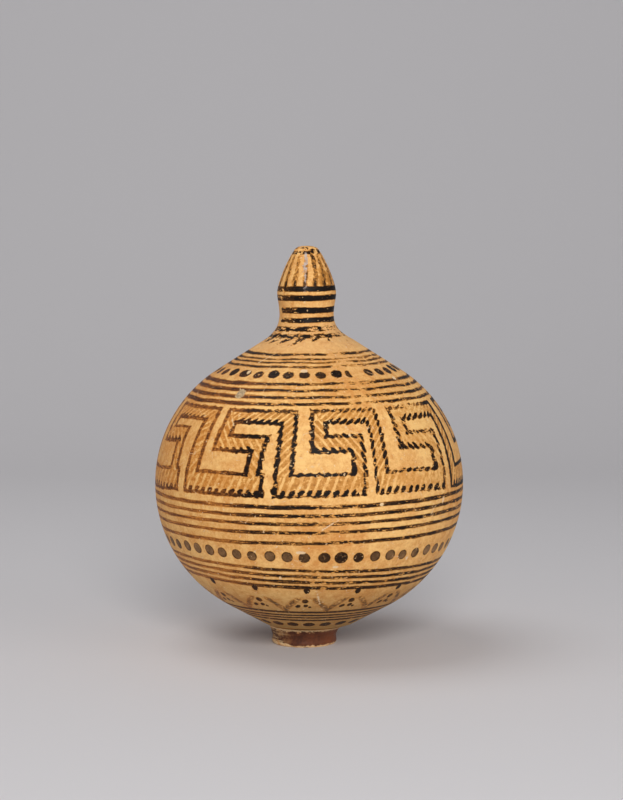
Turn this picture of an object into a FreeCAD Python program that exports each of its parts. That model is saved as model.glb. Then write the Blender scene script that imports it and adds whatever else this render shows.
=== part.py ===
import FreeCAD, Part
import math
import os

# A closed pomegranate vase in fired clay, in millimetres, +Z up.
# The hollow body is thrown as two bowls that meet at the belly. A hollow bud closes the
# top, a low turned foot carries the base, and a coil of clay lutes each of the three joints.
# The origin is on the body's axis, in the plane that the foot rests on.
# Round stretches are short straight cuts along an arc, as a turning tool leaves them.

full_turn = 360.0
overrun = 2.0

# Body
wall = 4.0
belly_radius = 46.4
lower_rise = 43.5
upper_rise = 43.1
base_radius = 11.9
seat_radius = 13.3
base_reach_share = 1.052
seat_reach_share = 1.07
belly_flat_half_height = 3.5
outer_cuts = 4
inner_cuts = 3
inner_sides = 24

# Joint at the belly: both rims are bevelled on the outside, and a coil fills the groove
groove_depth = 2.2
groove_half_height = 1.5

# Joint at the neck: the finial's hollow tenon drops into the opening in the shoulder
opening_radius = 6.5
tenon_clearance = 0.15
tenon_length = 3.0
tenon_wall = 2.3

# Finial, a bud that was set a little to the left of the body's axis
finial_height = 28.1
finial_offset = -0.75
bud_radius = 8.9
tip_rise = 1.4
tip_radius = 4.0
tip_flat_radius = 1.9
# Rise above the seat and radius, as shares of the bud's height below the tip and its radius
bud_shares = [(0.34, 0.94), (0.49, 1.0), (0.58, 1.0), (0.70, 0.90), (0.86, 0.70)]
bud_hollow_share = 0.80

# Coil round the neck joint, smoothed to a concave fillet
neck_coil_rise = 5.2
neck_coil_width = 4.43
neck_coil_lip = 0.25
neck_coil_sag_share = 0.16
neck_coil_cuts = 2

# Foot, turned in one piece and set off to the left of the body's axis
foot_height = 2.9
foot_offset = -1.5
foot_radius = 9.8
foot_edge_bevel = 0.5
foot_collar_radius = 7.6
foot_collar_height = 2.4
foot_hollow_radius = 5.8
foot_hollow_depth = 1.4

# Coil round the foot joint, smoothed to a short flare under the body
foot_coil_radius = 10.4

# Derived sizes
tenon_radius = opening_radius - tenon_clearance
base_height = foot_height + foot_collar_height
belly_height = base_height + lower_rise
seat_height = belly_height + upper_rise
total_height = seat_height + finial_height
tip_height = total_height - tip_rise


def point(radius, height):
    return FreeCAD.Vector(radius, 0, height)


def arc_cuts(start, end, bow, cuts):
    """Points along an arc whose middle stands off its chord by the bow, the start left out.

    A positive bow stands outwards on a rising edge.
    """
    chord = end - start
    arc_radius = (chord.Length ** 2 / 4 + bow ** 2) / (2 * bow)
    half_angle = math.asin(chord.Length / 2 / arc_radius)
    along = FreeCAD.Vector(chord).normalize()
    across = FreeCAD.Vector(along.z, 0, -along.x)
    centre = (start + end) * 0.5 + across * (bow - arc_radius)
    points = []
    for cut in range(1, cuts):
        angle = half_angle * (2 * cut / cuts - 1)
        spoke = across * math.cos(angle) + along * math.sin(angle)
        points.append(centre + spoke * arc_radius)
    return points + [end]


def turned(outline, axis_offset=0):
    """Solid of revolution of a closed half section, about its own upright axis."""
    section = Part.Face(Part.makePolygon(outline + [outline[0]]))
    solid = section.revolve(point(0, 0), FreeCAD.Vector(0, 0, 1), full_turn)
    return solid.translated(FreeCAD.Vector(axis_offset, 0, 0))


def half_wall(direction, rise, reach_share, end_radius, inset, cuts):
    """Outline of one half of the body's wall, from the belly to its flat end.

    The wall is upright at the belly's joint, follows an arc round the belly and leaves it
    along the straight tangent to the flat end. The inset moves the whole outline in, for the
    inside of the wall.
    """
    reach = rise / reach_share - inset
    core_radius = belly_radius - rise / reach_share
    end = point(end_radius * (1 - inset / belly_radius), belly_height + direction * (rise - inset))
    across = (end.x - core_radius) / reach
    up = (rise - inset) / reach
    turn = math.atan2(up, across) - math.acos(1 / math.hypot(across, up))
    first = math.asin(belly_flat_half_height / reach)
    outline = [
        point(belly_radius - inset, belly_height),
        point(belly_radius - inset, belly_height + direction * belly_flat_half_height),
    ]
    for cut in range(1, cuts + 1):
        angle = first + (turn - first) * cut / cuts
        radius = core_radius + reach * math.cos(angle)
        outline.append(point(radius, belly_height + direction * reach * math.sin(angle)))
    return outline + [end]


def lower_wall(inset, cuts):
    return half_wall(-1, lower_rise, base_reach_share, base_radius, inset, cuts)


def upper_wall(inset, cuts):
    return half_wall(1, upper_rise, seat_reach_share, seat_radius, inset, cuts)


def outer_form(outline):
    """Solid half of the body inside an outline that runs from the belly to its flat end."""
    return turned(outline + [point(0, outline[-1].z), point(0, outline[0].z)])


def inner_form(outline):
    """The same for the hidden inside of the wall, with flat sides, so that it stays light."""
    rings = []
    for corner in outline:
        ring = []
        for side in range(inner_sides + 1):
            angle = 2 * math.pi * side / inner_sides
            ring.append(FreeCAD.Vector(corner.x * math.cos(angle), corner.x * math.sin(angle), corner.z))
        rings.append(ring)
    faces = [Part.Face(Part.makePolygon(rings[0])), Part.Face(Part.makePolygon(rings[-1]))]
    for low, high in zip(rings, rings[1:]):
        for side in range(inner_sides):
            corners = [low[side], low[side + 1], high[side + 1], high[side], low[side]]
            faces.append(Part.Face(Part.makePolygon(corners)))
    return Part.Solid(Part.Shell(faces))


def belly_groove():
    """Ring with a V section whose point lies inside the wall at the belly's joint."""
    mouth_radius = belly_radius + overrun
    mouth_half_height = groove_half_height * (groove_depth + overrun) / groove_depth
    return turned([
        point(belly_radius - groove_depth, belly_height),
        point(mouth_radius, belly_height - mouth_half_height),
        point(mouth_radius, belly_height + mouth_half_height),
    ])


def make_lower_bowl():
    solid = outer_form(lower_wall(0, outer_cuts)).cut(inner_form(lower_wall(wall, inner_cuts)))
    return solid.cut(belly_groove())


def make_upper_bowl():
    opening = Part.makeCylinder(
        opening_radius, wall + 2 * overrun, point(finial_offset, seat_height - wall - overrun))
    solid = outer_form(upper_wall(0, outer_cuts)).cut(inner_form(upper_wall(wall, inner_cuts)))
    return solid.cut(belly_groove()).cut(opening)


def make_belly_seam_coil():
    """Coil that fills the groove flush with the upright wall at the belly."""
    return turned([
        point(belly_radius - groove_depth, belly_height),
        point(belly_radius, belly_height - groove_half_height),
        point(belly_radius, belly_height + groove_half_height),
    ])


def bud_side():
    """Outline of the bud's outer wall, from its neck on the seat up to the centre of the tip."""
    bud_rise = tip_height - seat_height
    side = [point(bud_radius * radius_share, seat_height + bud_rise * rise_share)
            for rise_share, radius_share in bud_shares]
    tip = [point(tip_radius, tip_height), point(tip_flat_radius, total_height), point(0, total_height)]
    return [point(side[0].x, seat_height)] + side + tip


def make_finial():
    bud = turned(bud_side() + [point(0, seat_height)], finial_offset)
    tenon_base = point(finial_offset, seat_height - tenon_length)
    tenon = Part.makeCylinder(tenon_radius, tenon_length, tenon_base)
    hollow_top = seat_height + (tip_height - seat_height) * bud_hollow_share
    hollow = Part.makeCylinder(tenon_radius - tenon_wall, hollow_top - tenon_base.z, tenon_base)
    return bud.fuse(tenon).cut(hollow)


def make_neck_seam_coil():
    """Fillet of clay over the finial's joint, from the bud's side out over the seat."""
    neck_radius = bud_side()[0].x
    edge = point(neck_radius + neck_coil_width, seat_height)
    top = point(neck_radius + neck_coil_lip, seat_height + neck_coil_rise)
    bow = -neck_coil_sag_share * (top - edge).Length
    flank = arc_cuts(edge, top, bow, neck_coil_cuts)
    inside = [point(neck_radius, top.z), point(neck_radius, seat_height)]
    return turned([edge] + flank + inside, finial_offset)


def make_foot():
    """Foot with a hollowed underside and a collar that carries the body."""
    return turned([
        point(0, foot_hollow_depth),
        point(foot_hollow_radius, foot_hollow_depth),
        point(foot_hollow_radius, 0),
        point(foot_radius - foot_edge_bevel, 0),
        point(foot_radius, foot_edge_bevel),
        point(foot_radius, foot_height),
        point(foot_collar_radius, foot_height),
        point(foot_collar_radius, base_height),
        point(0, base_height),
    ], foot_offset)


def make_foot_seam_coil():
    """Flare of clay round the foot's collar, between the foot and the body's base."""
    foot_edge = point(foot_radius, foot_height)
    top = point(foot_coil_radius, base_height)
    inside = [point(foot_collar_radius, base_height), point(foot_collar_radius, foot_height)]
    return turned([foot_edge, top] + inside, foot_offset)


nodes = {
    "foot": make_foot,
    "foot_seam_coil": make_foot_seam_coil,
    "lower_bowl": make_lower_bowl,
    "belly_seam_coil": make_belly_seam_coil,
    "upper_bowl": make_upper_bowl,
    "finial": make_finial,
    "neck_seam_coil": make_neck_seam_coil,
}

os.makedirs("parts", exist_ok=True)
for name, make in nodes.items():
    shape = make()
    shape.exportStep("parts/" + name + ".step")
    print(name, "solids", len(shape.Solids), "valid", shape.isValid(), "volume", round(shape.Volume, 1))
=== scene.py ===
import math
from functools import reduce

import bmesh
import bpy
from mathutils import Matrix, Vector


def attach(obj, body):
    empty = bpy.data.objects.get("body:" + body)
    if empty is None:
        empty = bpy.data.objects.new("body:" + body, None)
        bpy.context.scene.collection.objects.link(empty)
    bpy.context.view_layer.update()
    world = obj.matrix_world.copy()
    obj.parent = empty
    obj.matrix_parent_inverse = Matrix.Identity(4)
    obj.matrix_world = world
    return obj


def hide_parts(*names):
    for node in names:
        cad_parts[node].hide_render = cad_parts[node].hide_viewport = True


# The looks of a closed clay vase in the shape of a pomegranate. The frame is in metres.
# Outlines are written in millimetres. Painted patterns are placed by height, counted in
# brush units from the floor, and by the angle round the body from the front, in degrees,
# positive to the viewer's right.

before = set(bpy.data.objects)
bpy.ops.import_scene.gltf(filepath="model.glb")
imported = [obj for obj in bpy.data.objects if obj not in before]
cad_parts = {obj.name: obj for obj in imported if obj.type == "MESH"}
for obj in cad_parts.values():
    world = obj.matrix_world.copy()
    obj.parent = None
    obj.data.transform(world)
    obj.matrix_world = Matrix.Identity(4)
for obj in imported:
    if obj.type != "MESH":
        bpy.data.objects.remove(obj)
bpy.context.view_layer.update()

MM = 0.001
UNIT = 0.2985 * MM


def tone(red, green, blue):
    """A colour given as it looks on screen, 0 to 255, as the linear colour that nodes take."""
    shares = [level / 255 for level in (red, green, blue)]
    return (*[s / 12.92 if s <= 0.04045 else ((s + 0.055) / 1.055) ** 2.4 for s in shares], 1.0)


# Node sheets

class Value:
    """A node's output that takes part in plain arithmetic."""

    def __init__(self, sheet, socket):
        self.sheet = sheet
        self.socket = socket

    def math(self, operation, *others):
        return self.sheet.math(operation, self, *others)

    def __add__(self, other):
        return self.math("ADD", other)

    def __sub__(self, other):
        return self.math("SUBTRACT", other)

    def __rsub__(self, other):
        return self.sheet.math("SUBTRACT", other, self)

    def __mul__(self, other):
        return self.math("MULTIPLY", other)

    __radd__ = __add__
    __rmul__ = __mul__

    def __truediv__(self, other):
        return self.math("DIVIDE", other)

    def __neg__(self):
        return self.math("MULTIPLY", -1.0)

    def __abs__(self):
        return self.math("ABSOLUTE")

    def low(self, other):
        return self.math("MINIMUM", other)

    def high(self, other):
        return self.math("MAXIMUM", other)

    def step(self, start, end, low=0.0, high=1.0):
        """Goes smoothly from low at start to high at end, and stays there."""
        return self.sheet.node(
            "ShaderNodeMapRange",
            {"interpolation_type": "SMOOTHSTEP"},
            {"Value": self, "From Min": start, "From Max": end, "To Min": low, "To Max": high},
        )

    def window(self, start, full, fading, end):
        """0 up to start and from end on, and 1 from full to fading, rising or falling."""
        return self.step(start, full) * self.step(end, fading)

    def inside(self, softness):
        """1 where a distance is below zero, 0 where it is above, with a soft edge."""
        return self.step(softness, -softness)

    def wrapped(self, pitch):
        """An angle folded to half a pitch each side of zero."""
        return (self + pitch / 2).math("FLOORED_MODULO", pitch) - pitch / 2


def lowest(values):
    return reduce(Value.low, values)


def highest(values):
    return reduce(Value.high, values)


class Sheet:
    """The node tree of a material or of a geometry group."""

    def __init__(self, tree):
        self.tree = tree

    def feed(self, socket, value):
        if isinstance(value, Value):
            self.tree.links.new(value.socket, socket)
        else:
            socket.default_value = value

    def node(self, kind, settings=None, sockets=None, output=0):
        """Adds a node: settings first, then its sockets by name or number."""
        made = self.tree.nodes.new(kind)
        for name, setting in (settings or {}).items():
            if name == "stops":
                ramp = made.color_ramp
                while len(ramp.elements) < len(setting):
                    ramp.elements.new(0.5)
                for element, (position, colour) in zip(ramp.elements, setting):
                    element.position = position
                    element.color = colour
            else:
                setattr(made, name, setting)
        for key, value in (sockets or {}).items():
            self.feed(made.inputs[key], value)
        return Value(self, made.outputs[output])

    def math(self, operation, *values):
        return self.node("ShaderNodeMath", {"operation": operation}, dict(enumerate(values)))

    def vector(self, operation, *values):
        return self.node(
            "ShaderNodeVectorMath", {"operation": operation}, dict(enumerate(values)))

    def scaled(self, vector, scale):
        return self.node(
            "ShaderNodeVectorMath", {"operation": "SCALE"}, {0: vector, "Scale": scale})

    def parts(self, vector):
        """The x, y and z of a vector."""
        return [self.node("ShaderNodeSeparateXYZ", None, {0: vector}, output=i) for i in range(3)]

    def noise(self, vector, scale, detail=2.0, roughness=0.5):
        """Noise about zero, mostly within half a unit of it."""
        made = self.node(
            "ShaderNodeTexNoise", None,
            {"Vector": vector, "Scale": scale, "Detail": detail, "Roughness": roughness})
        return made - 0.5

    def blend(self, factor, first, second):
        return self.node(
            "ShaderNodeMix", {"data_type": "RGBA", "clamp_factor": True},
            {0: factor, 6: first, 7: second}, output=2)


def placed_in_scene(name, data):
    """A new object with its data, linked to the scene."""
    made = bpy.data.objects.new(name, data)
    bpy.context.scene.collection.objects.link(made)
    return made


# Form of the vessel, in millimetres

BELLY_RADIUS = 46.4
BELLY_HEIGHT = 48.8
WALL = 4.0
LOWER_REACH = 41.35
UPPER_REACH = 40.3
LOWER_TURN = 60.9
UPPER_TURN = 57.7
SEAT_HEIGHT = 91.9
BASE_HEIGHT = 5.3
SEAM_HALF_HEIGHT = 1.5
SEAM_DEPTH = 2.2
NECK_INSIDE = 8.2
TENON_RADIUS = 6.35
OPENING_RADIUS = 6.5
TENON_BASE = 88.9
BUD_HOLLOW_RADIUS = 4.05
BUD_HOLLOW_TOP = 113.3
BUD_SHIFT = -0.75
FOOT_SHIFT = -1.5
COLLAR_RADIUS = 7.6
FOOT_HEIGHT = 2.9
NECK_COIL_TOP = 98.6
SHOULDER_EDGE = 91.95
# Hidden ends: the bud's straight stretch over the seat, and the inside of the coil round it
BUD_STRAIGHT = 1.0
NECK_COIL_OVERLAP = 0.02
NECK_COIL_LIP = 0.4

# Fineness of the turned meshes: spacing along the outline, hidden steps, segments in a turn,
# the distance at which points merge, the length of a stray speck and what counts as sharp
SPACING = 0.55
FINE_SPACING = 0.3
HIDDEN_STEPS = 8
SEGMENTS = 288
MERGE_DISTANCE = 0.002
SPECK_LENGTH = 0.001
SHARP_DEGREES = 40

# What the hand and the wheel leave: depth in millimetres and scale for each metre
UNEVENNESS, SWELL_SCALE = 0.10, 38.0
WHEEL_MARKS, WHEEL_SCALES = 0.05, (12.0, 12.0, 420.0)
CHIP_DEPTH, CHIP_NOISE = 0.25, (620.0, 3.0, 0.6)
# Chipped edges at the floor and at the foot's joint: where the chips start, are full and end
FLOOR_EDGE = (0.9 * MM, 0.1 * MM)
JOINT_EDGE = (2.6 * MM, 3.1 * MM, 3.3 * MM, 3.9 * MM)

# Outlines: radius, height, and the share of the bud's or the foot's shift where it isn't whole
BUD_OUTLINE = [
    (0.0, 120.0), (1.5, 119.92), (2.65, 119.62), (3.45, 119.1), (3.98, 118.35), (4.85, 117.0),
    (5.95, 114.9), (6.95, 112.7), (7.8, 110.5), (8.45, 108.5), (8.83, 106.7), (8.87, 105.3),
    (8.72, 104.0), (8.42, 102.3), (8.24, 100.6), (8.2, 99.3), (8.32, 98.0), (8.7, 96.6, 0.96),
    (9.45, 95.2, 0.84), (10.5, 94.0, 0.6), (11.9, 92.85, 0.24), (13.3, SHOULDER_EDGE, 0.0),
]
FLARE_OUTLINE = [
    (13.9, 6.45, 0.07), (12.5, 5.85, 0.29), (11.35, BASE_HEIGHT, 0.57), (10.75, 4.75, 0.77),
    (10.35, 4.2, 0.87), (10.12, 3.7, 0.94), (10.02, 3.35, 0.99), (9.8, FOOT_HEIGHT),
]
FOOT_OUTLINE = [
    (9.8, FOOT_HEIGHT), (9.72, 2.4), (9.74, 1.8), (9.86, 1.1), (9.8, 0.45), (9.5, 0.1),
    (9.1, 0.0), (6.2, 0.0), (5.85, 0.2), (5.78, 1.1), (5.5, 1.38), (0.0, 1.4),
]


def shifted(outline, shift):
    """The same points with how far each stands off the body's axis."""
    return [(radius, height, (share or [1.0])[0] * shift) for radius, height, *share in outline]


def smooth_through(points, spacing):
    """Closely spaced points on a smooth curve through control points."""
    ends = [points[0]] + list(points) + [points[-1]]
    curve = [Vector(points[0])]
    for before, start, end, after in zip(ends, ends[1:], ends[2:], ends[3:]):
        before, start, end, after = Vector(before), Vector(start), Vector(end), Vector(after)
        steps = max(1, math.ceil((end - start).length / spacing))
        for step in range(1, steps + 1):
            t = step / steps
            curve.append(0.5 * (
                2 * start + (end - before) * t
                + (2 * before - 5 * start + 4 * end - after) * t ** 2
                + (3 * start - before - 3 * end + after) * t ** 3))
    return curve


def body_arc(reach, turn, direction):
    """The body's side from the belly to the place where it runs out straight."""
    steps = math.ceil(math.radians(turn) * reach / SPACING)
    arc = []
    for step in range(steps + 1):
        angle = math.radians(turn) * step / steps
        height = BELLY_HEIGHT + direction * reach * math.sin(angle)
        arc.append(Vector((BELLY_RADIUS - reach + reach * math.cos(angle), height, 0.0)))
    return arc


def vessel_outline():
    """The whole outside from the tip to the middle of the underside, smooth all the way."""
    bud = smooth_through(shifted(BUD_OUTLINE, BUD_SHIFT), FINE_SPACING)
    upper = body_arc(UPPER_REACH, UPPER_TURN, 1)[::-1]
    lower = body_arc(LOWER_REACH, LOWER_TURN, -1)
    shoulder = smooth_through([bud[-1], upper[0]], SPACING)[1:-1]
    flare = smooth_through(shifted(FLARE_OUTLINE, FOOT_SHIFT), FINE_SPACING)
    foot = smooth_through(shifted(FOOT_OUTLINE, FOOT_SHIFT), FINE_SPACING)
    underside = smooth_through([lower[-1], flare[0]], SPACING)[1:-1]
    return bud + shoulder + upper + lower[1:] + underside + flare + foot[1:]


OUTLINE = vessel_outline()


def facings():
    """Outward direction at each point of the outline, straight up or down on the axis."""
    found = []
    for index in range(len(OUTLINE)):
        before = OUTLINE[max(index - 1, 0)]
        after = OUTLINE[min(index + 1, len(OUTLINE) - 1)]
        along = after - before
        on_axis = index in (0, len(OUTLINE) - 1)
        across = Vector((0.0 if on_axis else -along.y, along.x, 0.0))
        found.append(across.normalized() if across.length > 0 else Vector((0, 1, 0)))
    return found


FACINGS = facings()


def nearest(height, least, most):
    """Number of the outline point nearest to a height, within a range of radius."""
    fitting = [i for i, p in enumerate(OUTLINE) if least <= p.x <= most]
    return min(fitting, key=lambda i: abs(OUTLINE[i].y - height))


# Where the pieces meet on the outline
NECK_TOP = nearest(NECK_COIL_TOP, 7.0, 9.0)
NECK_EDGE = nearest(SHOULDER_EDGE, 12.9, 13.6)
SEAM_TOP = nearest(BELLY_HEIGHT + SEAM_HALF_HEIGHT, 40.0, 50.0)
SEAM_LOW = nearest(BELLY_HEIGHT - SEAM_HALF_HEIGHT, 40.0, 50.0)
BASE_EDGE = nearest(BASE_HEIGHT, 9.0, 13.0)
FOOT_TOP = nearest(FOOT_HEIGHT, 9.0, 11.0)
LAST = len(OUTLINE) - 1


def hidden_wall(direction, reach, turn):
    """Points of the hidden inside of one bowl, from its rim to its flat end."""
    points = []
    for step in range(HIDDEN_STEPS + 1):
        angle = math.radians(turn) * step / HIDDEN_STEPS
        radius = BELLY_RADIUS - reach + (reach - WALL) * math.cos(angle)
        points.append((radius, BELLY_HEIGHT + direction * (reach - WALL) * math.sin(angle), 0.0))
    return points


# One turned piece per row: the stretch of the outline that shows, then the hidden points, each
# with its shift off the body's axis, and None for a return to the first point
RIM = [(BELLY_RADIUS - SEAM_DEPTH, BELLY_HEIGHT, 0.0)]
TURNED_PIECES = {
    "finial": ((0, NECK_TOP), shifted([
        (NECK_INSIDE, SEAT_HEIGHT + BUD_STRAIGHT), (NECK_INSIDE, SEAT_HEIGHT),
        (TENON_RADIUS, SEAT_HEIGHT), (TENON_RADIUS, TENON_BASE), (BUD_HOLLOW_RADIUS, TENON_BASE),
        (BUD_HOLLOW_RADIUS, BUD_HOLLOW_TOP), (0.0, BUD_HOLLOW_TOP)], BUD_SHIFT)),
    "neck_seam_coil": ((NECK_TOP, NECK_EDGE), shifted([
        (NECK_INSIDE, SEAT_HEIGHT),
        (NECK_INSIDE - NECK_COIL_OVERLAP, OUTLINE[NECK_TOP].y - NECK_COIL_LIP)],
        BUD_SHIFT) + [None]),
    "upper_bowl": ((NECK_EDGE, SEAM_TOP), RIM + hidden_wall(1, UPPER_REACH, UPPER_TURN) + shifted([
        (OPENING_RADIUS, SEAT_HEIGHT - WALL), (OPENING_RADIUS, SEAT_HEIGHT)], BUD_SHIFT) + [None]),
    "belly_seam_coil": ((SEAM_TOP, SEAM_LOW), RIM + [None]),
    "lower_bowl": ((SEAM_LOW, BASE_EDGE), [(0.0, BASE_HEIGHT, 0.0)]),
    "foot_seam_coil": ((BASE_EDGE, FOOT_TOP), shifted([
        (COLLAR_RADIUS, FOOT_HEIGHT), (COLLAR_RADIUS, BASE_HEIGHT)], FOOT_SHIFT) + [None]),
    "foot": ((FOOT_TOP, LAST), []),
}
# Hidden points that come before the stretch that shows
LEADING_POINTS = {
    "lower_bowl": [
        (0.0, BASE_HEIGHT + WALL, 0.0), *hidden_wall(-1, LOWER_REACH, LOWER_TURN)[::-1], *RIM],
    "foot": shifted([(0.0, BASE_HEIGHT), (COLLAR_RADIUS, BASE_HEIGHT),
                     (COLLAR_RADIUS, FOOT_HEIGHT)], FOOT_SHIFT),
}


def half_section(name):
    """Mesh of a piece's outline, with what the turning tree reads at each of its points."""
    (start, end), trailing = TURNED_PIECES[name]
    rows = [(Vector(p), Vector(), 0.0) for p in LEADING_POINTS.get(name, [])]
    rows += [(OUTLINE[i], FACINGS[i], 1.0) for i in range(start, end + 1)]
    rows += [(Vector(p), Vector(), 0.0) if p else rows[0] for p in trailing]
    mesh = bpy.data.meshes.new(name + "_outline")
    corners = [(p.x * MM, 0.0, p.y * MM) for p, _, _ in rows]
    mesh.from_pydata(corners, [(i, i + 1) for i in range(len(rows) - 1)], [])
    shift = mesh.attributes.new("shift", "FLOAT", "POINT")
    shift.data.foreach_set("value", [p.z * MM for p, _, _ in rows])
    shown = mesh.attributes.new("shown", "FLOAT", "POINT")
    shown.data.foreach_set("value", [weight for _, _, weight in rows])
    facing = mesh.attributes.new("facing", "FLOAT_VECTOR", "POINT")
    facing.data.foreach_set("vector", [x for _, f, _ in rows for x in (f.x, 0.0, f.y)])
    return mesh


def turning_tree():
    """Geometry Nodes that turn an outline into a hand-thrown wall, closed at seams and poles."""
    tree = bpy.data.node_groups.new("turned_clay", "GeometryNodeTree")
    sockets = {}
    for name, kind in [("Outline", "Geometry"), ("Segments", "Int"), ("Unevenness", "Float"),
                       ("Wheel marks", "Float"), ("Chips", "Float"), ("Clay", "Material")]:
        socket = tree.interface.new_socket(
            name=name, in_out="INPUT", socket_type="NodeSocket" + kind)
        sockets[name] = socket.identifier
    tree.interface.new_socket(name="Wall", in_out="OUTPUT", socket_type="NodeSocketGeometry")
    sheet = Sheet(tree)
    given = tree.nodes.new("NodeGroupInput")
    wanted = {name: Value(sheet, given.outputs[name]) for name in sockets}

    rows = sheet.node(
        "GeometryNodeAttributeDomainSize", {"component": "MESH"}, {0: wanted["Outline"]})
    grid = sheet.node("GeometryNodeMeshGrid", None, {
        "Vertices X": wanted["Segments"] + 1, "Vertices Y": rows})
    index = sheet.node("GeometryNodeInputIndex")
    row = index.math("FLOORED_MODULO", rows)
    turn = (index / rows).math("FLOOR") * math.tau / wanted["Segments"]

    def sampled(kind, value):
        return sheet.node("GeometryNodeSampleIndex", {"data_type": kind, "domain": "POINT"}, {
            "Geometry": wanted["Outline"], "Value": value, "Index": row})

    def attribute(kind, name):
        return sheet.node("GeometryNodeInputNamedAttribute", {"data_type": kind}, {"Name": name})

    def placed(radius, height, shift):
        return sheet.node("ShaderNodeCombineXYZ", None, {
            0: radius * turn.math("SINE") + shift, 1: -(radius * turn.math("COSINE")), 2: height})

    place = sampled("FLOAT_VECTOR", sheet.node("GeometryNodeInputPosition"))
    facing = sampled("FLOAT_VECTOR", attribute("FLOAT_VECTOR", "facing"))
    shown = sampled("FLOAT", attribute("FLOAT", "shown"))
    shift = sampled("FLOAT", attribute("FLOAT", "shift"))
    radius, _, height = sheet.parts(place)
    across, _, upward = sheet.parts(facing)
    smooth_place = placed(radius, height, shift)
    outward = placed(across, upward, 0.0)

    # Both noises are lowered until they only press inwards, so the wall stays in its solid
    swell = sheet.noise(smooth_place, SWELL_SCALE, 1.0) - 0.5
    ringed_place = sheet.vector("MULTIPLY", smooth_place, WHEEL_SCALES)
    marks = sheet.noise(ringed_place, 1.0, 1.0) - 0.5
    edge = height.step(*FLOOR_EDGE) + height.window(*JOINT_EDGE)
    bites = sheet.noise(smooth_place, *CHIP_NOISE).step(0.06, 0.2) * edge
    push = swell * wanted["Unevenness"] + marks * wanted["Wheel marks"] - bites * wanted["Chips"]
    moved = sheet.vector("ADD", smooth_place, sheet.scaled(outward, push * shown))
    wall = sheet.node("GeometryNodeSetPosition", None, {"Geometry": grid, "Position": moved})
    wall = sheet.node(
        "GeometryNodeMergeByDistance", None, {"Geometry": wall, "Distance": MERGE_DISTANCE * MM})
    wall = sheet.node("GeometryNodeSetShadeSmooth", None, {"Geometry": wall})
    wall = sheet.node("GeometryNodeRealizeInstances", None, {"Geometry": wall})
    wall = sheet.node(
        "GeometryNodeSetMaterial", None, {"Geometry": wall, "Material": wanted["Clay"]})
    out = tree.nodes.new("NodeGroupOutput")
    sheet.feed(out.inputs["Wall"], wall)
    return tree, sockets


TURNING, TURNING_SOCKETS = turning_tree()


def turn_piece(name, material, chips):
    """Turns one piece, makes it a plain closed mesh and lets it stand for its CAD node."""
    draft = placed_in_scene(name + "_draft", half_section(name))
    turning = draft.modifiers.new("turning", "NODES")
    turning.node_group = TURNING
    wanted = {"Segments": SEGMENTS, "Unevenness": UNEVENNESS * MM,
              "Wheel marks": WHEEL_MARKS * MM, "Chips": chips * MM, "Clay": material}
    for socket, value in wanted.items():
        turning[TURNING_SOCKETS[socket]] = value
    bpy.context.view_layer.update()
    seen = draft.evaluated_get(bpy.context.evaluated_depsgraph_get())
    mesh = bpy.data.meshes.new_from_object(seen)
    draft.modifiers.remove(turning)
    bpy.data.objects.remove(draft)
    shape = bmesh.new()
    shape.from_mesh(mesh)
    bmesh.ops.dissolve_degenerate(shape, dist=SPECK_LENGTH * MM, edges=shape.edges[:])
    bmesh.ops.recalc_face_normals(shape, faces=shape.faces[:])
    shape.to_mesh(mesh)
    shape.free()
    mesh.shade_smooth()
    mesh.set_sharp_from_angle(angle=math.radians(SHARP_DEGREES))
    mesh.name = name + "_clay"
    piece = placed_in_scene(name + "_clay", mesh)
    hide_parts(name)
    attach(piece, "root")
    return piece


# Clay and slip

BUFF = tone(235, 174, 97)
BUFF_DEEP = tone(208, 138, 72)
BUFF_PALE = tone(250, 204, 132)
BUFF_ROSY = tone(228, 178, 122)
# Olive of the lower body: partly the clay's own tone, partly painted shade where less light
# reaches the underside
OLIVE_AND_SHADE = tone(164, 132, 82)
PIT = tone(112, 68, 38)
CRUST = tone(152, 132, 104)
FLECK = tone(238, 218, 184)
DUST = tone(146, 108, 70)
CRACK = tone(196, 178, 166)
# Colour of the slip by its thickness, where it fired red and where it fired black
RED_SLIP_STOPS = [
    (0.0, tone(228, 158, 76)), (0.26, tone(198, 126, 54)), (0.5, tone(132, 76, 32)),
    (0.74, tone(76, 41, 17)), (1.0, tone(30, 16, 7)),
]
BLACK_SLIP_STOPS = [
    (0.0, tone(226, 160, 82)), (0.26, tone(190, 128, 57)), (0.5, tone(110, 72, 32)),
    (0.74, tone(58, 35, 14)), (1.0, tone(18, 10, 5)),
]
FOOT_SLIP_DARK = tone(82, 48, 35)
FOOT_SLIP_WARM = tone(130, 74, 46)
FOOT_SLIP_THIN = tone(180, 138, 88)
FOOT_CLAY = tone(240, 214, 166)

CLAY_IOR = 1.45
SHEEN = 0.16
CLAY_ROUGHNESS = 0.64
FOOT_ROUGHNESS = 0.42

# Noises that the patterns share: scale for each brush unit, detail and roughness
RAGGED = (0.42, 3.0, 0.6)
WANDER = (0.035, 1.0)
MOTTLE = (0.11, 3.0, 0.6)
BLOTCHES = (0.28, 2.0, 0.6)
CLOUDS = (0.012, 3.0, 0.55)
GRAIN = (0.6, 3.0, 0.75)
BEADS = (0.16, 2.0, 0.5)
CRUSTED = (0.05, 4.0, 0.7)
FLECKED = (0.34, 1.0)
# Noises drawn out along the vessel: scale round it and upward, detail and roughness
SWELL = (0.06, 0.16, 2.0, 0.68)
STREAKS = (0.05, 0.75, 3.0, 0.68)
HAIRS = (0.03, 1.5, 2.0, 0.68)
FLAKES = (0.15, 0.42, 4.0, 0.68)
UPRIGHT = (0.4, 0.07, 3.0, 0.65)
SCRATCHED = (0.018, 0.03, 2.0, 0.4)

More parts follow.
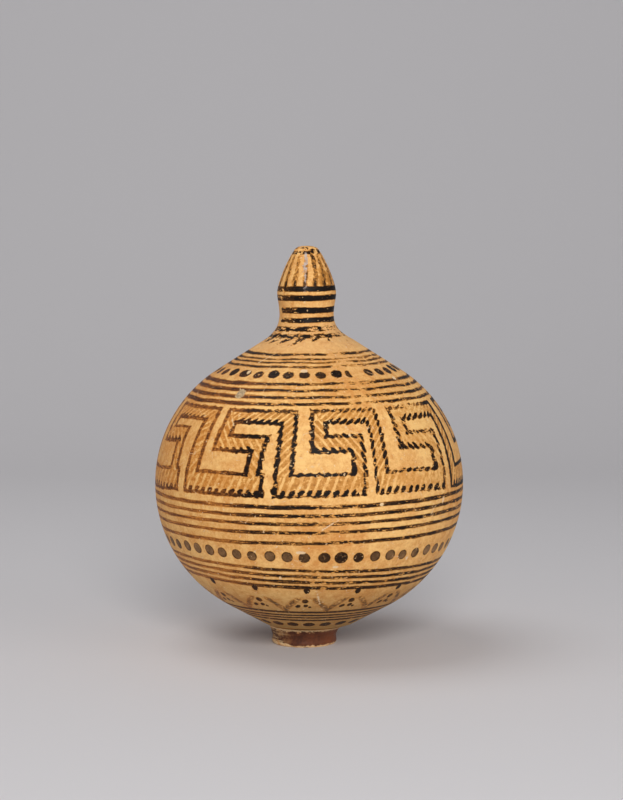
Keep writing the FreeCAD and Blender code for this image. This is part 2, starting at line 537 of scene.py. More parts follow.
# Painted bands: height and half width of each line
SHOULDER_LINES = [(297, 1.05), (293, 0.75), (290, 0.75), (286.3, 0.9)]
NECKLACE_LINES = [(271.6, 1.15), (266.0, 1.15), (259.9, 1.15), (254.0, 1.2)]
BELT_LINES = [(159.6, 1.95), (151.3, 1.75), (143.3, 1.65), (134.8, 1.65), (124.3, 1.75)]
UNDER_LINES = [(95.8, 1.65), (89.4, 1.6), (83.2, 1.65), (77.2, 1.75)]
BASE_LINES = [(47.3, 1.3), (42.9, 1.05), (39.3, 1.05), (35.4, 1.2)]
LAST_RING = (20.8, 0.8)
BUD_LINES = [(359.8, 2.6), (350.8, 2.75), (338.4, 2.85), (328.6, 2.4)]
FLAKED_BUD_LINES = [(320.0, 2.3), (313.5, 1.7)]
LINE_SOFTNESS = 0.75
RED_LINE_SPREAD = 0.5
# How much the bands rise for each unit to the right, and how far they wander up and down
TILT = 0.0095
UNDER_TILT = -0.0326
LOWER_DOT_TILT = -0.016
BUD_TILT = 0.02
BAND_WANDER = 1.6

# Where along the angle or the height something shows: its start, full, fading and end
LEFT_SIDE = (-12, -40, -115, -175)
RED_HEIGHTS = (287, 274)
RUBBED_SHOULDER = (12, 20, 31, 41)
RUBBED_BELTS = (-8, 6, 12, 30)
HAIRLINE_HEIGHTS = (295.6, 294.4, 285, 284)
ROSY_HEIGHTS = (270, 312, 318, 330)

# Rows of dots: pitch and first angle in degrees, height, half width and half height
UPPER_STRETCH = 6.0
UPPER_SWAY = 2.6
UPPER_DOTS = ((360.0 + UPPER_STRETCH) / 38, -2.5, 279.6, 5.2, 3.1)
LOWER_DOTS = (360.0 / 54, -0.8, 109.6, 5.2, 5.0)
BASE_DOTS = (360.0 / 23, 4.6, 29.0, 5.9, 2.8)
# Single marks: angle, height, half width and half height
MISSING_DOT = (32.0, 280.0, 8.0, 6.0)
LARGE_DOT = (12.3, 109.4, 6.5, 5.9)

# Triangles: their pitch, the drop that each hangs on, and their broad smeared legs
TRIANGLE_PITCH = 24.0
DROP_LEVEL, DROP_HALF_WIDTH, DROP_HALF_HEIGHT = 74.1, 3.0, 3.4
LEG_TOP, LEG_SPREAD, LEG_HALF_WIDTH, LEG_SOFTNESS = 71.6, 0.57, 3.7, 2.2
LEG_HEIGHTS = (47.5, 49.5, 62, 68)
# Small dots inside each triangle: angle and height from its middle, size and lean
TRIANGLE_DOTS = [
    (-0.4, 61.6, 2.5, 0.0), (-4.4, 55.4, 1.9, 0.5), (-0.2, 56.0, 1.8, 0.2), (2.0, 54.4, 1.2, 0.0),
]

# Places where the surface is lost: angle, height, half width, half height and any lean
CRUST_PATCH = (-36.0, 261.5, 5.2, 4.0)
LOST_SPOTS = [
    (-38.0, 293.0, 0.7, 4.5, 1.2), (58.0, 273.5, 2.2, 1.4), (7.0, 141.5, 1.6, 4.6, 1.6),
    (-3.0, 115.0, 4.5, 1.6), (42.0, 103.0, 1.6, 1.8), (26.5, 160.5, 2.2, 2.0),
    (57.5, 157.0, 1.6, 3.4, 0.2), (10.5, 100.0, 3.0, 1.0), (-33.0, 236.0, 0.8, 3.2, -0.8),
    (-42.0, 280.4, 2.2, 1.7), (-3.2, 283.0, 3.8, 1.4), (4.8, 64.0, 0.9, 7.0, -0.3),
    (-12.0, 88.0, 1.2, 1.6), (16.0, 226.0, 1.2, 1.2),
]

# Hatched meander: one unit of the band, in degrees from its upright's left edge and in units
MEANDER_UNITS = 9
MEANDER_FIRST = 1.2
MEANDER_CROWDING = 3.2
MEANDER_PITCH = 360.0 / MEANDER_UNITS
STROKE_PITCH = MEANDER_PITCH / 12
UPRIGHT_THINNING = 0.74
BAND_TOP, BAND_FOOT = 247.9, 169.8
BAND_MIDDLE = 205
TOP_BAR_EDGE, FOOT_BAR_EDGE = 237.4, 190.2
HOOK_TOP, HOOK_FOOT = 224.9, 211.2
RISING_BOXES = [((0.0, 30.0), (TOP_BAR_EDGE, BAND_TOP)), ((24.4, 30.0), (BAND_FOOT, BAND_TOP)),
                ((24.4, 57.2), (BAND_FOOT, FOOT_BAR_EDGE))]
FALLING_BOXES = [((52.8, 57.2), (BAND_FOOT, HOOK_TOP)), ((37.8, 57.2), (HOOK_FOOT, HOOK_TOP)),
                 ((37.8, 43.2), (HOOK_FOOT, BAND_TOP))]
CORNER_BLOBS = [(38.4, HOOK_FOOT + 2.6), (53.0, FOOT_BAR_EDGE + 2.8), (24.9, BAND_FOOT + 5.0)]
BLOB_HALF_WIDTH, BLOB_HALF_HEIGHT = 2.6, 4.2
# Rows of drops along a bar's edge: height, left and right end in degrees, and half height
DROP_ROWS = [(BAND_FOOT + 2.8, 25.0, 57.0, 3.2), (TOP_BAR_EDGE + 0.8, 5.5, 25.0, 2.7),
             (HOOK_FOOT + 1.0, 38.5, 53.5, 2.9)]
# The hand wanders: the band sags at the sides, the hooks lift and the uprights lean
BAND_SAG = 3.4
HOOK_LIFT = 5.5
LIFTED_SIDE = (-44, -50, -78, -98)
FALLING_LEAN = 1.7
LEANING_SIDE = (8, -30, -60, -74)
WIDE_UNIT = 2.3
WIDE_SIDE = (19, 31, 46, 60)
# Uprights that lean: where, how wide, and how far to the right at the band's top and foot
RISING_LEANS = [(-10.0, 8.0, 1.1, 0.0), (-47.0, 10.0, 2.0, -0.5)]
FALLING_LEANS = [(-18.5, 8.0, 2.6, -0.8)]
# Sides where the outline turns black and beaded, fades, breaks into dashes or loses its foot
BEADED_SIDE = (-25, -16, 60, 66)
FADED_SIDE = (29, 33, 58, 63)
DASHED_SIDE = (5, 15, 60, 66)
THIN_FOOT_SIDE = (-7, -3, 60, 66)

# Dabs that hang at the neck
DABS = 19
DAB_TOP = 313.0
DAB_LEVEL, DAB_HALF_WIDTH, DAB_HALF_HEIGHT = 312.2, 2.6, 3.2
LONG_DAB_SIDE = (20, -30, -90, -140)
BARE_NECK_SIDE = (36, 52, 110, 150)

# Bud: tongues that rise from the top band, the crown round the tip and the crack in front
TONGUES = 16
TONGUE_FOOT = 362.0
TONGUE_HEIGHTS = (361, 363, 390, 395)
BUD_LEFT_WORN = (-8, -42, -110, -150)
BUD_RIGHT_WORN = (30, 60, 100, 140)
HANDLED_SIDE = (-60, -72, -88, -100)
HANDLED_HEIGHTS = (345, 341)
GOLDEN_SIDE = (12, 40, 100, 150)
GOLDEN_HEIGHTS = (384, 374)
CROWN_LEVEL, CROWN_HALF_HEIGHT = 395.2, 1.4
HEAVY_SIDE = (0, 30, 50, 80)
DRIP = (22.0, 391.0, 1.3)
CRACK_ANGLE = -3.0
CRACK_HEIGHTS = (355, 360, 393, 397)

# Foot: where its slip is thin or warm, and how wide its bare edges are
FOOT_THIN_SIDE = (-14, -52, -115, -175)
FOOT_WARM_SIDE = (12, 55, 115, 175)
BARE_TOP, BARE_BOTTOM = 16.8, 1.7


class Skin:
    """Where a point lies on the vessel, in brush units and degrees, with the shared noises."""

    def __init__(self, sheet, shift=0.0):
        self.sheet = sheet
        coordinates = sheet.node("ShaderNodeTexCoord", output=3)
        self.place = sheet.scaled(coordinates, 1 / UNIT)
        self.middle_x, self.y, self.z = sheet.parts(self.place)
        self.x = self.right_of(shift)
        self.angle = self.angle_at(self.x)
        self.arc = self.arc_at(self.x)
        self.left = self.angle.window(*LEFT_SIDE)
        self.redder = self.left * self.z.step(*RED_HEIGHTS)
        self.ragged = self.noise(*RAGGED)
        self.wander = self.noise(*WANDER)
        self.mottle = self.noise(*MOTTLE)
        self.blotches = self.noise(*BLOTCHES)
        self.swell = self.stretched(*SWELL)
        self.streaks = self.stretched(*STREAKS)
        self.hairs = self.stretched(*HAIRS)
        self.flakes = self.stretched(*FLAKES)

    def right_of(self, shift):
        """How far a point is to the right of an axis that is shifted by some millimetres."""
        return self.middle_x - shift * MM / UNIT

    def angle_at(self, x):
        return self.sheet.math("ARCTAN2", x, -self.y) * math.degrees(1)

    def arc_at(self, x):
        """Length of one degree round the axis."""
        return self.sheet.math("SQRT", x * x + self.y * self.y) * math.radians(1)

    def noise(self, *settings):
        return self.sheet.noise(self.place, *settings)

    def stretched(self, around, upward, detail, roughness):
        """Noise drawn out round the vessel or up it, as the wheel and the brush leave it."""
        place = self.sheet.vector("MULTIPLY", self.place, (around, around, upward))
        return self.sheet.noise(place, 1.0, detail, roughness)

    def kept(self, worn):
        """1 where the slip still holds and 0 where it has flaked off; worn is the share lost."""
        return (self.flakes - (worn - 0.5) * 0.42).step(-0.045, 0.055)

    def stained(self, worn):
        """The same, with the stain that flaked slip leaves in the clay."""
        return self.kept(worn) * 0.87 + 0.13


def line_distance(height, lines):
    """Distance from the nearest of some level lines, less its half width."""
    return lowest(abs(height - centre) - half_width for centre, half_width in lines)


def ruled(skin, height, lines):
    """1 on lines drawn on the wheel, with a brush that swells and thins as it goes round."""
    distance = line_distance(height, lines) + skin.ragged * 1.5 + skin.swell * 1.7
    return distance.inside(LINE_SOFTNESS)


def oval(across, rise):
    """Distance from the edge of a dot, in shares of its size, below zero inside it."""
    return (across * across + rise * rise).math("SQRT") - 1.0


def dot_row(skin, height, angle, row):
    """Distance in units from a row of hand-set dots, and a chance value for each dot."""
    pitch, first, level, half_width, half_height = row
    cell = ((angle - first) / pitch + 0.5).math("FLOOR")
    chance = skin.sheet.node(
        "ShaderNodeTexWhiteNoise", {"noise_dimensions": "1D"}, {"W": cell + level}) - 0.5
    across = (angle - first - cell * pitch - chance) * skin.arc / half_width
    rise = (height - level - chance * 1.5) / half_height
    return (oval(across, rise) - chance * 0.14) * half_height, chance


def spot(skin, angle, level, half_width, half_height, lean=0.0):
    """Distance from a single mark, in units; it may lean as it rises."""
    rise = skin.z - level
    across = ((skin.angle - angle) * skin.arc - rise * lean) / half_width
    return oval(across, rise / half_height) * half_width


def shoulder_and_belts(skin, height):
    """Level lines on the shoulder, round the belly and under it."""
    angle, redder = skin.angle, skin.redder
    patchy = skin.streaks * 2.2 + skin.hairs * 1.2 + skin.ragged * 1.1
    patchy = patchy * (1 - skin.left * 0.5)
    rubbed = angle.window(*RUBBED_SHOULDER)
    hairlines = height.window(*HAIRLINE_HEIGHTS)
    thickness = 0.86 - redder * 0.2 + patchy - rubbed * 0.15 - hairlines * 0.16
    wear = 0.30 + rubbed * 0.22 - skin.left * 0.24
    spread_lines = [(level, width + RED_LINE_SPREAD) for level, width in NECKLACE_LINES]
    fine = ruled(skin, height, SHOULDER_LINES + NECKLACE_LINES)
    fine = fine.high(ruled(skin, height, spread_lines) * redder)
    slip = fine * skin.stained(wear) * thickness

    under = skin.z - skin.x * UNDER_TILT + skin.wander * BAND_WANDER
    thickness = 0.82 - redder * 0.36 + patchy
    wear = 0.24 - redder * 0.16 + angle.window(*RUBBED_BELTS) * 0.16
    belts = ruled(skin, height, BELT_LINES).high(ruled(skin, under, UNDER_LINES))
    return slip.high(belts * skin.stained(wear) * thickness)


def dotted_bands(skin, height):
    """The rows of dots on the shoulder and under the belly, and the dust on the lower ones."""
    angle = skin.angle
    crowded = angle - angle.math("RADIANS").math("SINE") * UPPER_SWAY
    crowded = crowded + angle.step(19, 41) * UPPER_STRETCH
    crowded = crowded + angle.window(-38, -52, -80, -120) * UPPER_SWAY
    upper, chance = dot_row(skin, height, crowded, UPPER_DOTS)
    missing = spot(skin, *MISSING_DOT).inside(0.6)
    upper_mask = (upper + skin.ragged * 1.6).inside(0.5) * (1 - missing)
    slip = upper_mask * skin.stained(0.14) * (0.86 + chance * 0.5 + skin.blotches * 0.8)

    lower_height = skin.z - skin.x * LOWER_DOT_TILT
    shifted_left = angle + angle.window(10, -4, -90, -170) * 1.1
    lower, chance = dot_row(skin, lower_height, shifted_left, LOWER_DOTS)
    lower = lower.low(spot(skin, *LARGE_DOT)) + skin.ragged * 1.2
    slip = slip.high(lower.inside(0.5) * (0.84 + skin.blotches * 0.8))
    beside = angle.step(14, -30).high(angle.step(18, 36))
    disc = (lower + 0.6 + skin.blotches * 3.0).inside(1.0)
    dust = disc * beside * (0.62 + chance * 0.5 + skin.mottle * 2.0 + skin.ragged)
    specks = (skin.ragged + skin.blotches * 0.5 - 0.08).step(0.0, 0.08) * disc * 0.62
    return slip, dust.high(specks)


def triangles(skin):
    """Triangles of broad smeared strokes with dots inside, each hung on a drop from a line."""
    hung = (skin.angle + 1.0).wrapped(TRIANGLE_PITCH)
    rise = skin.z - skin.x * UNDER_TILT - DROP_LEVEL
    drop = oval(hung * skin.arc / DROP_HALF_WIDTH, rise / DROP_HALF_HEIGHT) * DROP_HALF_WIDTH
    slip = (drop + skin.ragged * 1.8).inside(0.5) * (0.86 + skin.blotches)
    hung = hung + 0.6
    leg = abs(abs(hung) - (LEG_TOP - skin.z) * LEG_SPREAD) * skin.arc - LEG_HALF_WIDTH
    leg = (leg + skin.ragged * 3.0 + skin.mottle * 7.0).inside(LEG_SOFTNESS)
    leg = leg * skin.z.window(*LEG_HEIGHTS)
    smear = leg * (0.42 + skin.blotches * 1.8 + skin.flakes * 0.8)
    grit = 0.44 + skin.ragged * 1.6 + skin.mottle * 1.8 + skin.blotches
    slip = slip.high(leg * grit)
    for across, level, size, lean in TRIANGLE_DOTS:
        sideways = (hung - across) * skin.arc - (skin.z - level) * lean
        dot = oval(sideways / (size * 1.3), (skin.z - level) / size) + skin.ragged * 0.9
        slip = slip.high(dot.inside(0.25) * (0.74 + skin.blotches))
    return slip, smear


def base_bands(skin):
    """Thin rings and the last row of flat dots, centred on the foot."""
    rings = line_distance(skin.z + skin.wander * 0.8, BASE_LINES) + skin.ragged * 1.1
    slip = rings.inside(0.45) * skin.stained(0.16) * (0.76 + skin.streaks * 0.9)
    foot_x = skin.right_of(FOOT_SHIFT)
    pitch, first, level, half_width, half_height = BASE_DOTS
    row = (skin.angle_at(foot_x) - first).wrapped(pitch)
    dots = oval(row * skin.arc_at(foot_x) / half_width, (skin.z - level) / half_height)
    dots = (dots + skin.ragged * 0.6).inside(0.16)
    slip = slip.high(dots * (0.74 + skin.blotches * 0.5))
    ring = line_distance(skin.z + skin.wander, [LAST_RING]) + skin.ragged * 1.6
    return slip.high(ring.inside(0.6) * (0.5 + skin.streaks))


def meander(skin, height):
    """The key pattern: a beaded outline round slanting strokes that end in drops."""
    side = skin.angle
    sag = (side.step(34, 66) + side.step(-54, -72)) * BAND_SAG
    height = height + sag * height.step(BAND_TOP, BAND_MIDDLE)
    hooked = height.window(FOOT_BAR_EDGE, HOOK_FOOT, HOOK_TOP, TOP_BAR_EDGE)
    height = height - hooked * side.window(*LIFTED_SIDE) * HOOK_LIFT
    angle = side + (side - 6.0).math("RADIANS").math("SINE") * MEANDER_CROWDING
    angle = angle + side.window(*WIDE_SIDE) * WIDE_UNIT
    angle = angle - MEANDER_FIRST + skin.wander * 0.5
    leaning = height.step(BAND_TOP, HOOK_FOOT + 3.0) * side.window(*LEANING_SIDE)
    falling_angle = angle + leaning * FALLING_LEAN

    def leant(angle, leans):
        for place, reach, top, foot in leans:
            share = (abs(side - place) - reach).step(0.0, -3.0)
            angle = angle - share * height.step(BAND_FOOT, BAND_TOP, foot, top)
        return angle

    stretch = 1.0 + math.radians(MEANDER_CROWDING)
    arc = skin.arc / stretch

    def along_bar(angle, left, right):
        middle, half = (left + right) / 2 * stretch, (right - left) / 2 * stretch
        return (abs((angle - middle).wrapped(MEANDER_PITCH)) - half) * arc * UPRIGHT_THINNING

    def joined(angle, boxes):
        return lowest(
            along_bar(angle, *sides).high(abs(height - (low + high) / 2) - (high - low) / 2)
            for sides, (low, high) in boxes)

    rising = joined(leant(angle, RISING_LEANS), RISING_BOXES)
    falling = joined(leant(falling_angle, FALLING_LEANS), FALLING_BOXES)
    edge = rising.low(falling)
    leans_back = (falling - rising).step(0.4, -0.4)
    above_foot_bar = height - FOOT_BAR_EDGE
    lean = above_foot_bar.step(-1.0, 1.0, 0.45, 1.0) * (1 - leans_back) - 0.75 * leans_back
    slant = above_foot_bar * lean / (arc * STROKE_PITCH)
    phase = angle / STROKE_PITCH - slant + skin.wander * 0.4
    stroke = abs(phase.math("FRACT") - 0.5)

    front = side.window(*BEADED_SIDE)
    faded = side.window(*FADED_SIDE)
    top_bar = height.step(BAND_TOP - 5, BAND_TOP - 3) * front
    foot_edge = height.step(BAND_FOOT + 5, BAND_FOOT + 3) * side.window(*THIN_FOOT_SIDE)
    beads = skin.noise(*BEADS)
    half_width = 1.75 + front * (0.5 - stroke) * 2.4 - front * 0.75 + beads * 3.0 - foot_edge * 0.7
    line = (abs(edge) - half_width + skin.ragged * 1.5).inside(LINE_SOFTNESS)
    wear = 0.08 + front * 0.17 + top_bar * 0.08 + faded * 0.08 + foot_edge * 0.2
    dashed = (stroke + skin.mottle * 0.5).step(0.32, 0.42) * side.window(*DASHED_SIDE)
    line = line * skin.stained(wear) * (1 - dashed * 0.6)
    strength = 1.0 - 0.48 * skin.redder.step(0.2, 1.0) - 0.08 * faded
    strength = strength + skin.streaks * 0.9 + skin.blotches * 0.8 + skin.ragged * 0.6
    line = line * (strength - top_bar * 0.3)

    def drops(level, left, right, reach):
        drop = oval(stroke * 3.1, (height - level) / reach)
        drop = drop + skin.ragged * 1.1 + skin.mottle * 1.8
        return drop.inside(0.2) * along_bar(angle, left, right).inside(0.8)

    def blob(turn, level):
        across = (falling_angle - turn * stretch).wrapped(MEANDER_PITCH) * arc
        blob = oval(across / BLOB_HALF_WIDTH, (height - level) / BLOB_HALF_HEIGHT)
        return (blob + skin.ragged + skin.mottle * 2.4).inside(0.25) * front

    ends = highest(drops(*row) for row in DROP_ROWS)
    ends = ends.high(highest(blob(*corner) for corner in CORNER_BLOBS))
    ends = ends * skin.stained(0.16) * (strength + 0.05)
    within = edge.inside(0.6)
    hatch = (stroke - 0.35 + skin.ragged * 0.3).inside(0.08) * within
    hatch = hatch * (0.20 + skin.streaks * 0.25 + skin.blotches * 0.6) * (1 - faded * 0.4)
    wash = within * (0.06 + faded * 0.03 + skin.mottle * 0.35)
    return line.high(ends).high(hatch).high(wash)


def leaf_strokes(skin):
    """Dabs that hang from the lowest line at the neck and lean to the left as they fall."""
    angle = skin.angle_at(skin.right_of(BUD_SHIFT))
    leaning = angle - (skin.z - DAB_TOP) * 2.2 + skin.wander * 22.0
    left = angle.window(*LONG_DAB_SIDE)
    across = (leaning + 2.0).wrapped(360.0 / DABS) * skin.arc
    rise = skin.z - DAB_LEVEL + left * 1.4
    dab = oval(across / (DAB_HALF_WIDTH + left * 1.1), rise / (DAB_HALF_HEIGHT + left * 1.5))
    spread = skin.mottle + skin.blotches * 0.6 + left * 0.07
    spread = (spread - angle.window(*BARE_NECK_SIDE) * 0.12).step(-0.03, 0.02)
    dab = (dab + skin.ragged * 2.0).inside(0.35) * spread
    return dab * skin.kept(0.22) * (0.9 + skin.ragged)


def painted_body(skin):
    """Slip thickness over the body, from the shoulder down to the foot, and its film of dust."""
    height = skin.z - skin.x * TILT + skin.wander * BAND_WANDER
    dots, dust = dotted_bands(skin, height)
    hanging, smear = triangles(skin)
    slip = highest([dots, hanging, shoulder_and_belts(skin, height), base_bands(skin),
                    leaf_strokes(skin), meander(skin, height)])
    return slip, dust.high(smear)


def bud_bands(skin, height):
    """Bands round the bud, worn by hands at its left, and the flaked lines under them."""
    angle = skin.angle
    left_worn = angle.window(*BUD_LEFT_WORN)
    handled = angle.window(*HANDLED_SIDE) * height.step(*HANDLED_HEIGHTS)
    held = skin.kept(0.10 + left_worn * 0.20 + handled * 0.6)
    bands = ruled(skin, height, BUD_LINES) * held
    bands = bands * (1.08 + skin.streaks * 0.9 + skin.ragged * 0.7 - left_worn * 0.34)
    flaked = skin.kept(0.42 + angle.window(*BUD_RIGHT_WORN) * 0.22) * 0.98
    return bands.high(ruled(skin, height, FLAKED_BUD_LINES) * flaked)


def bud_tongues(skin, height):
    """Golden tongues that rise from the bands, dark at their roots, and a wash to their right."""
    angle = skin.angle
    aside = (angle + 3.5 + skin.wander * 12.0).wrapped(360.0 / TONGUES)
    upright = skin.stretched(*UPRIGHT)
    broad = angle.step(*GOLDEN_SIDE[:2])
    width = 6.0 + upright * 9.0 + broad * 1.6 - (height - TONGUE_FOOT) * 0.02
    golden = 0.35 + upright * 0.7 + skin.blotches + skin.ragged + (3.2 - abs(aside)) * 0.02
    tongue = (abs(aside) - width + skin.ragged * 5.0).inside(2.4) * golden
    wash = angle.window(*GOLDEN_SIDE) * height.step(*GOLDEN_HEIGHTS)
    wash = wash * (0.2 + skin.mottle * 0.9 + skin.blotches * 0.6)
    root = (oval(aside / 3.4, (height - TONGUE_FOOT - 1.0) / 5.5) + skin.ragged).inside(0.3)
    slip = tongue.high(wash) * height.window(*TONGUE_HEIGHTS)
    return slip.high(root * (0.72 + skin.blotches))


def bud_crown(skin, height):
    """Broken ring round the tip, with a drip at its right and specks over the tip."""
    heavy = skin.angle.window(*HEAVY_SIDE)
    crown = abs(height - CROWN_LEVEL - heavy * 1.2) - CROWN_HALF_HEIGHT - heavy * 1.6
    broken = (skin.mottle + skin.blotches * 0.8).step(-0.07, 0.0)
    crown = (crown + skin.ragged * 3.4).inside(0.7) * broken * (0.84 + skin.blotches * 1.5)
    drip_angle, drip_level, drip_lean = DRIP
    runs = skin.angle - drip_angle + (height - drip_level) * drip_lean
    drip = oval(runs / 7.0, (height - drip_level - 1.0) / 5.0) + skin.ragged * 2.4
    drip = drip.inside(0.5) * (0.6 + skin.blotches * 1.6)
    speckle = (skin.blotches + skin.ragged * 0.4).step(0.05, 0.12) * height.step(394.5, 397)
    return crown.high(drip).high(speckle * 0.7)


def painted_bud(skin):
    """Slip thickness over the finial and the fillet under it, and the grey crack in its front."""
    height = skin.z - skin.x * BUD_TILT + skin.wander * 1.5
    slip = highest([bud_bands(skin, height), leaf_strokes(skin),
                    bud_tongues(skin, height), bud_crown(skin, height)])
    across = skin.angle - CRACK_ANGLE + skin.mottle * 22.0 + skin.blotches * 12.0
    across = abs(across)
    width = height.step(366, 390, 1.4, 4.4) + skin.ragged * 12.0
    opaque = height.step(374, 386, 0.46, 0.8) + skin.ragged * 2.4 + skin.mottle * 1.5
    chips = (across - 2.2).inside(1.2) * height.window(361, 365, 380, 388)
    chips = chips * (skin.blotches + skin.ragged * 0.8).step(0.0, 0.09) * 0.66
    crack = (across - width).inside(1.6) * height.window(*CRACK_HEIGHTS) * opaque
    return slip.high(chips), crack


def fired_clay(skin):
    """Colour of the bare clay, cloudy and a little gritty."""
    sheet = skin.sheet
    clouds = skin.noise(*CLOUDS)
    grain = skin.noise(*GRAIN)
    uneven = clouds * 2.2 + skin.mottle * 1.9 + skin.blotches * 1.2 + grain * 1.3
    clay = sheet.blend(uneven + 0.46, BUFF_PALE, BUFF_DEEP)
    clay = sheet.blend(0.28 + skin.streaks * 0.9, clay, BUFF)
    clay = sheet.blend(skin.z.window(*ROSY_HEIGHTS) * 0.4, clay, BUFF_ROSY)
    # Towards the bottom the clay turns darker and olive: partly its own tone, partly painted shade
    # under the belly and near the foot
    low = skin.z.step(96, 40) * 0.52 + skin.z.step(34, 22) * 0.25
    clay = sheet.blend(low, clay, OLIVE_AND_SHADE)
    clay = sheet.blend((skin.z - skin.blotches * 3.0).step(20.0, 18.6), clay, FOOT_CLAY)
    return sheet.blend((grain - 0.15).step(0.0, 0.08) * 0.5, clay, PIT), grain


def lost_surface(skin):
    """Where the burnished skin is lost, and how far a grey crust lies there instead of flecks."""
    crust = skin.noise(*CRUSTED) + skin.mottle * 0.3
    flecks = skin.noise(*FLECKED)
    scratches = abs(skin.stretched(*SCRATCHED)).step(0.006, 0.002)
    scratches = scratches * skin.mottle.step(0.0, 0.1) * skin.ragged.step(-0.06, 0.0)
    scratches = scratches * skin.z.step(336, 324) * 0.7
    pale = (crust - 0.24).step(0.0, 0.08).high(scratches)
    pale = pale.high((flecks - 0.208).step(0.0, 0.04) * 0.8)
    for lost_spot in LOST_SPOTS:
        mark = spot(skin, *lost_spot) + skin.ragged * 2.6 + skin.blotches * 3.0
        pale = pale.high(mark.inside(0.6))
    patch = spot(skin, *CRUST_PATCH) + skin.ragged * 4.0 + skin.blotches * 5.0
    patch = patch.inside(0.8)
    return pale.high(patch), patch * (0.8 + skin.blotches * 2.0)


def new_material(name):
    material = bpy.data.materials.new(name)
    material.use_nodes = True
    material.node_tree.nodes.clear()
    return material, Sheet(material.node_tree)


def finished(sheet, colour, roughness, relief):
    """Ends a material: relief is in shares of a millimetre."""
    bump = sheet.node("ShaderNodeBump", None, {"Strength": 1.0, "Distance": MM, "Height": relief})
    shader = sheet.node("ShaderNodeBsdfPrincipled", None, {
        "Base Color": colour, "Roughness": roughness, "Normal": bump,
        "IOR": CLAY_IOR, "Specular IOR Level": SHEEN})
    out = sheet.tree.nodes.new("ShaderNodeOutputMaterial")
    sheet.feed(out.inputs["Surface"], shader)


def clay_material(name, painted, film_colour, shift=0.0):
    """Burnished buff clay with painted slip, worn, scratched and a little uneven in colour."""
    material, sheet = new_material(name)
    skin = Skin(sheet, shift)
    slip, film = painted(skin)
    clay, grain = fired_clay(skin)
    pale, crust = lost_surface(skin)
    red = sheet.node("ShaderNodeValToRGB", {"stops": RED_SLIP_STOPS}, {0: slip})
    black = sheet.node("ShaderNodeValToRGB", {"stops": BLACK_SLIP_STOPS}, {0: slip})
    slip_colour = sheet.blend(skin.redder, black, red)
    covered = slip.step(0.02, 0.2) * (1 - pale * 0.9)
    colour = sheet.blend(pale * (0.6 + crust * 0.35), clay, sheet.blend(crust, FLECK, CRUST))
    colour = sheet.blend(covered, colour, slip_colour)
    colour = sheet.blend(film * (1 - pale), colour, film_colour)
    roughness = CLAY_ROUGHNESS + skin.mottle * 0.12 - covered * 0.14 + pale * 0.2
    relief = grain * 0.02 + skin.streaks * 0.03 + skin.mottle * 0.04 - pale * 0.05
    finished(sheet, colour, roughness, relief)
    return material


def foot_material():
    """Dark red-brown slip over clay, rubbed bare along the edges of the foot."""
    material, sheet = new_material("foot_slip")
    skin = Skin(sheet, FOOT_SHIFT)
    thin = skin.angle.window(*FOOT_THIN_SIDE)
    warm = skin.angle.window(*FOOT_WARM_SIDE)
    uneven = 0.24 + skin.mottle * 1.8 + skin.blotches
    slip = sheet.blend(uneven, FOOT_SLIP_DARK, FOOT_SLIP_WARM)
    slip = sheet.blend(warm * 0.7, slip, FOOT_SLIP_WARM)
    thinned = thin * (0.22 + skin.blotches * 3.0 + skin.mottle * 2.0)
    slip = sheet.blend(thinned, slip, FOOT_SLIP_THIN)
    clay = sheet.blend(0.45 + skin.blotches * 1.6, FOOT_CLAY, BUFF_DEEP)
    top = skin.z - BARE_TOP + skin.mottle * 7.0 + skin.blotches * 5.0
    top = top + skin.ragged * 7.0
    bottom = BARE_BOTTOM + thin * 2.6 - skin.z + skin.mottle * 4.2 + skin.ragged * 2.4
    strokes = skin.streaks + skin.hairs * 0.4 + thin * 0.1 - 0.14
    strokes = strokes.step(-0.03, 0.10) * thin * 0.75
    nicks = (skin.ragged - 0.24).step(0.0, 0.04) * 0.7
    bare = top.step(-0.5, 0.6).high(bottom.step(-0.6, 0.6)).high(strokes).high(nicks)
    colour = sheet.blend(bare, slip, clay)
    roughness = FOOT_ROUGHNESS + bare * 0.25 + skin.mottle * 0.1
    relief = (1 - bare) * 0.03 + skin.ragged * 0.05 + skin.streaks * 0.05
    finished(sheet, colour, roughness, relief)
    return material


BODY_CLAY = clay_material("painted_body_clay", painted_body, DUST)
BUD_CLAY = clay_material("painted_bud_clay", painted_bud, CRACK, BUD_SHIFT)
FOOT_SLIP = foot_material()

# The material of each piece, how deep its edges are chipped and its slot
FINISHES = {
    "finial": (BUD_CLAY, 0.0, "buff_clay"),
    "neck_seam_coil": (BUD_CLAY, 0.0, "buff_clay"),
    "upper_bowl": (BODY_CLAY, 0.0, "buff_clay"),
    "belly_seam_coil": (BODY_CLAY, 0.0, "buff_clay"),
    "lower_bowl": (BODY_CLAY, 0.0, "buff_clay"),
    "foot_seam_coil": (FOOT_SLIP, CHIP_DEPTH, "buff_clay"),
    "foot": (FOOT_SLIP, CHIP_DEPTH, "foot_slip"),
}
for part_name, (clay, chips, slot_name) in FINISHES.items():
    piece = turn_piece(part_name, clay, chips)


# Floor, light and camera

BEND_STEPS = 24
PAPER = tone(214, 211, 212)
PAPER_ROUGHNESS = 0.85
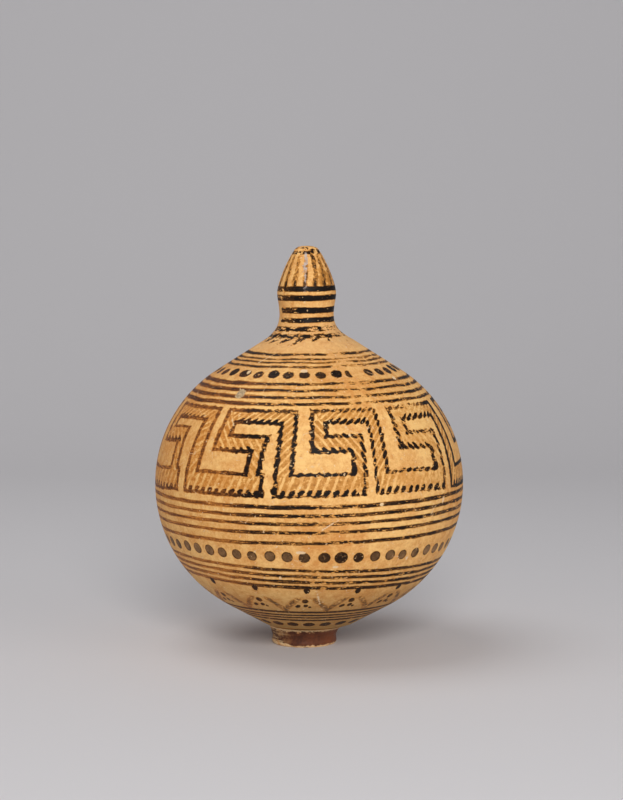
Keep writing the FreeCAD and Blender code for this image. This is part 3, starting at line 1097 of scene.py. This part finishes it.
# Each lamp's place, size and power; they all face the vase
VASE_MIDDLE = Vector((0.0, 0.0, 0.06))
LAMPS = {
    "key": ((0.08, -1.0, 0.52), 0.45, 7.2),
    "fill_right": ((0.8, -0.5, 0.30), 0.7, 1.4),
    "fill_left": ((-0.8, -0.5, 0.25), 0.7, 0.4),
    "top": ((-0.3, 0.05, 0.85), 0.6, 2.0),
}
ROOM_LIGHT = (0.93, 0.95, 1.0, 1.0)
ROOM_STRENGTH = 0.24
CAMERA_PLACE = (0.71 * MM, -0.696, 0.1404)
CAMERA_DIP = 5.477
SENSOR_WIDTH = 36.0
FOCAL_PIXELS = 2326.3
PICTURE_HEIGHT = 800


def studio_sweep():
    """A plain pale floor that curves up into the backdrop."""
    width, front, back, height, bend = 1.6, -0.9, 0.9, 1.2, 0.5
    section = [(front, 0.0), (back - bend, 0.0)]
    for step in range(1, BEND_STEPS + 1):
        angle = math.radians(90) * step / BEND_STEPS
        section.append((back - bend + bend * math.sin(angle), bend - bend * math.cos(angle)))
    section.append((back, height))
    corners = [(side * width, y, z) for y, z in section for side in (-1, 1)]
    faces = [(2 * i, 2 * i + 1, 2 * i + 3, 2 * i + 2) for i in range(len(section) - 1)]
    mesh = bpy.data.meshes.new("studio_sweep")
    mesh.from_pydata(corners, [], faces)
    mesh.shade_smooth()
    sweep = placed_in_scene("studio_sweep", mesh)
    paper = bpy.data.materials.new("pale_paper")
    paper.use_nodes = True
    shader = paper.node_tree.nodes["Principled BSDF"]
    shader.inputs["Base Color"].default_value = PAPER
    shader.inputs["Roughness"].default_value = PAPER_ROUGHNESS
    mesh.materials.append(paper)


def lamp(name, place, size, power):
    light = bpy.data.lights.new(name, "AREA")
    light.shape = "DISK"
    light.size = size
    light.energy = power
    holder = placed_in_scene(name, light)
    holder.location = place
    holder.rotation_euler = (VASE_MIDDLE - Vector(place)).to_track_quat("-Z", "Y").to_euler()


studio_sweep()
for lamp_name, settings in LAMPS.items():
    lamp(lamp_name, *settings)

world = bpy.data.worlds.new("studio")
world.use_nodes = True
background = world.node_tree.nodes["Background"]
background.inputs["Color"].default_value = ROOM_LIGHT
background.inputs["Strength"].default_value = ROOM_STRENGTH
bpy.context.scene.world = world

camera = bpy.data.cameras.new("photo")
camera.sensor_width = SENSOR_WIDTH
camera.lens = FOCAL_PIXELS * SENSOR_WIDTH / PICTURE_HEIGHT
eye = placed_in_scene("photo", camera)
eye.location = CAMERA_PLACE
eye.rotation_euler = (math.radians(90 - CAMERA_DIP), 0.0, 0.0)
bpy.context.scene.camera = eye
bpy.context.scene.view_settings.view_transform = "Standard"
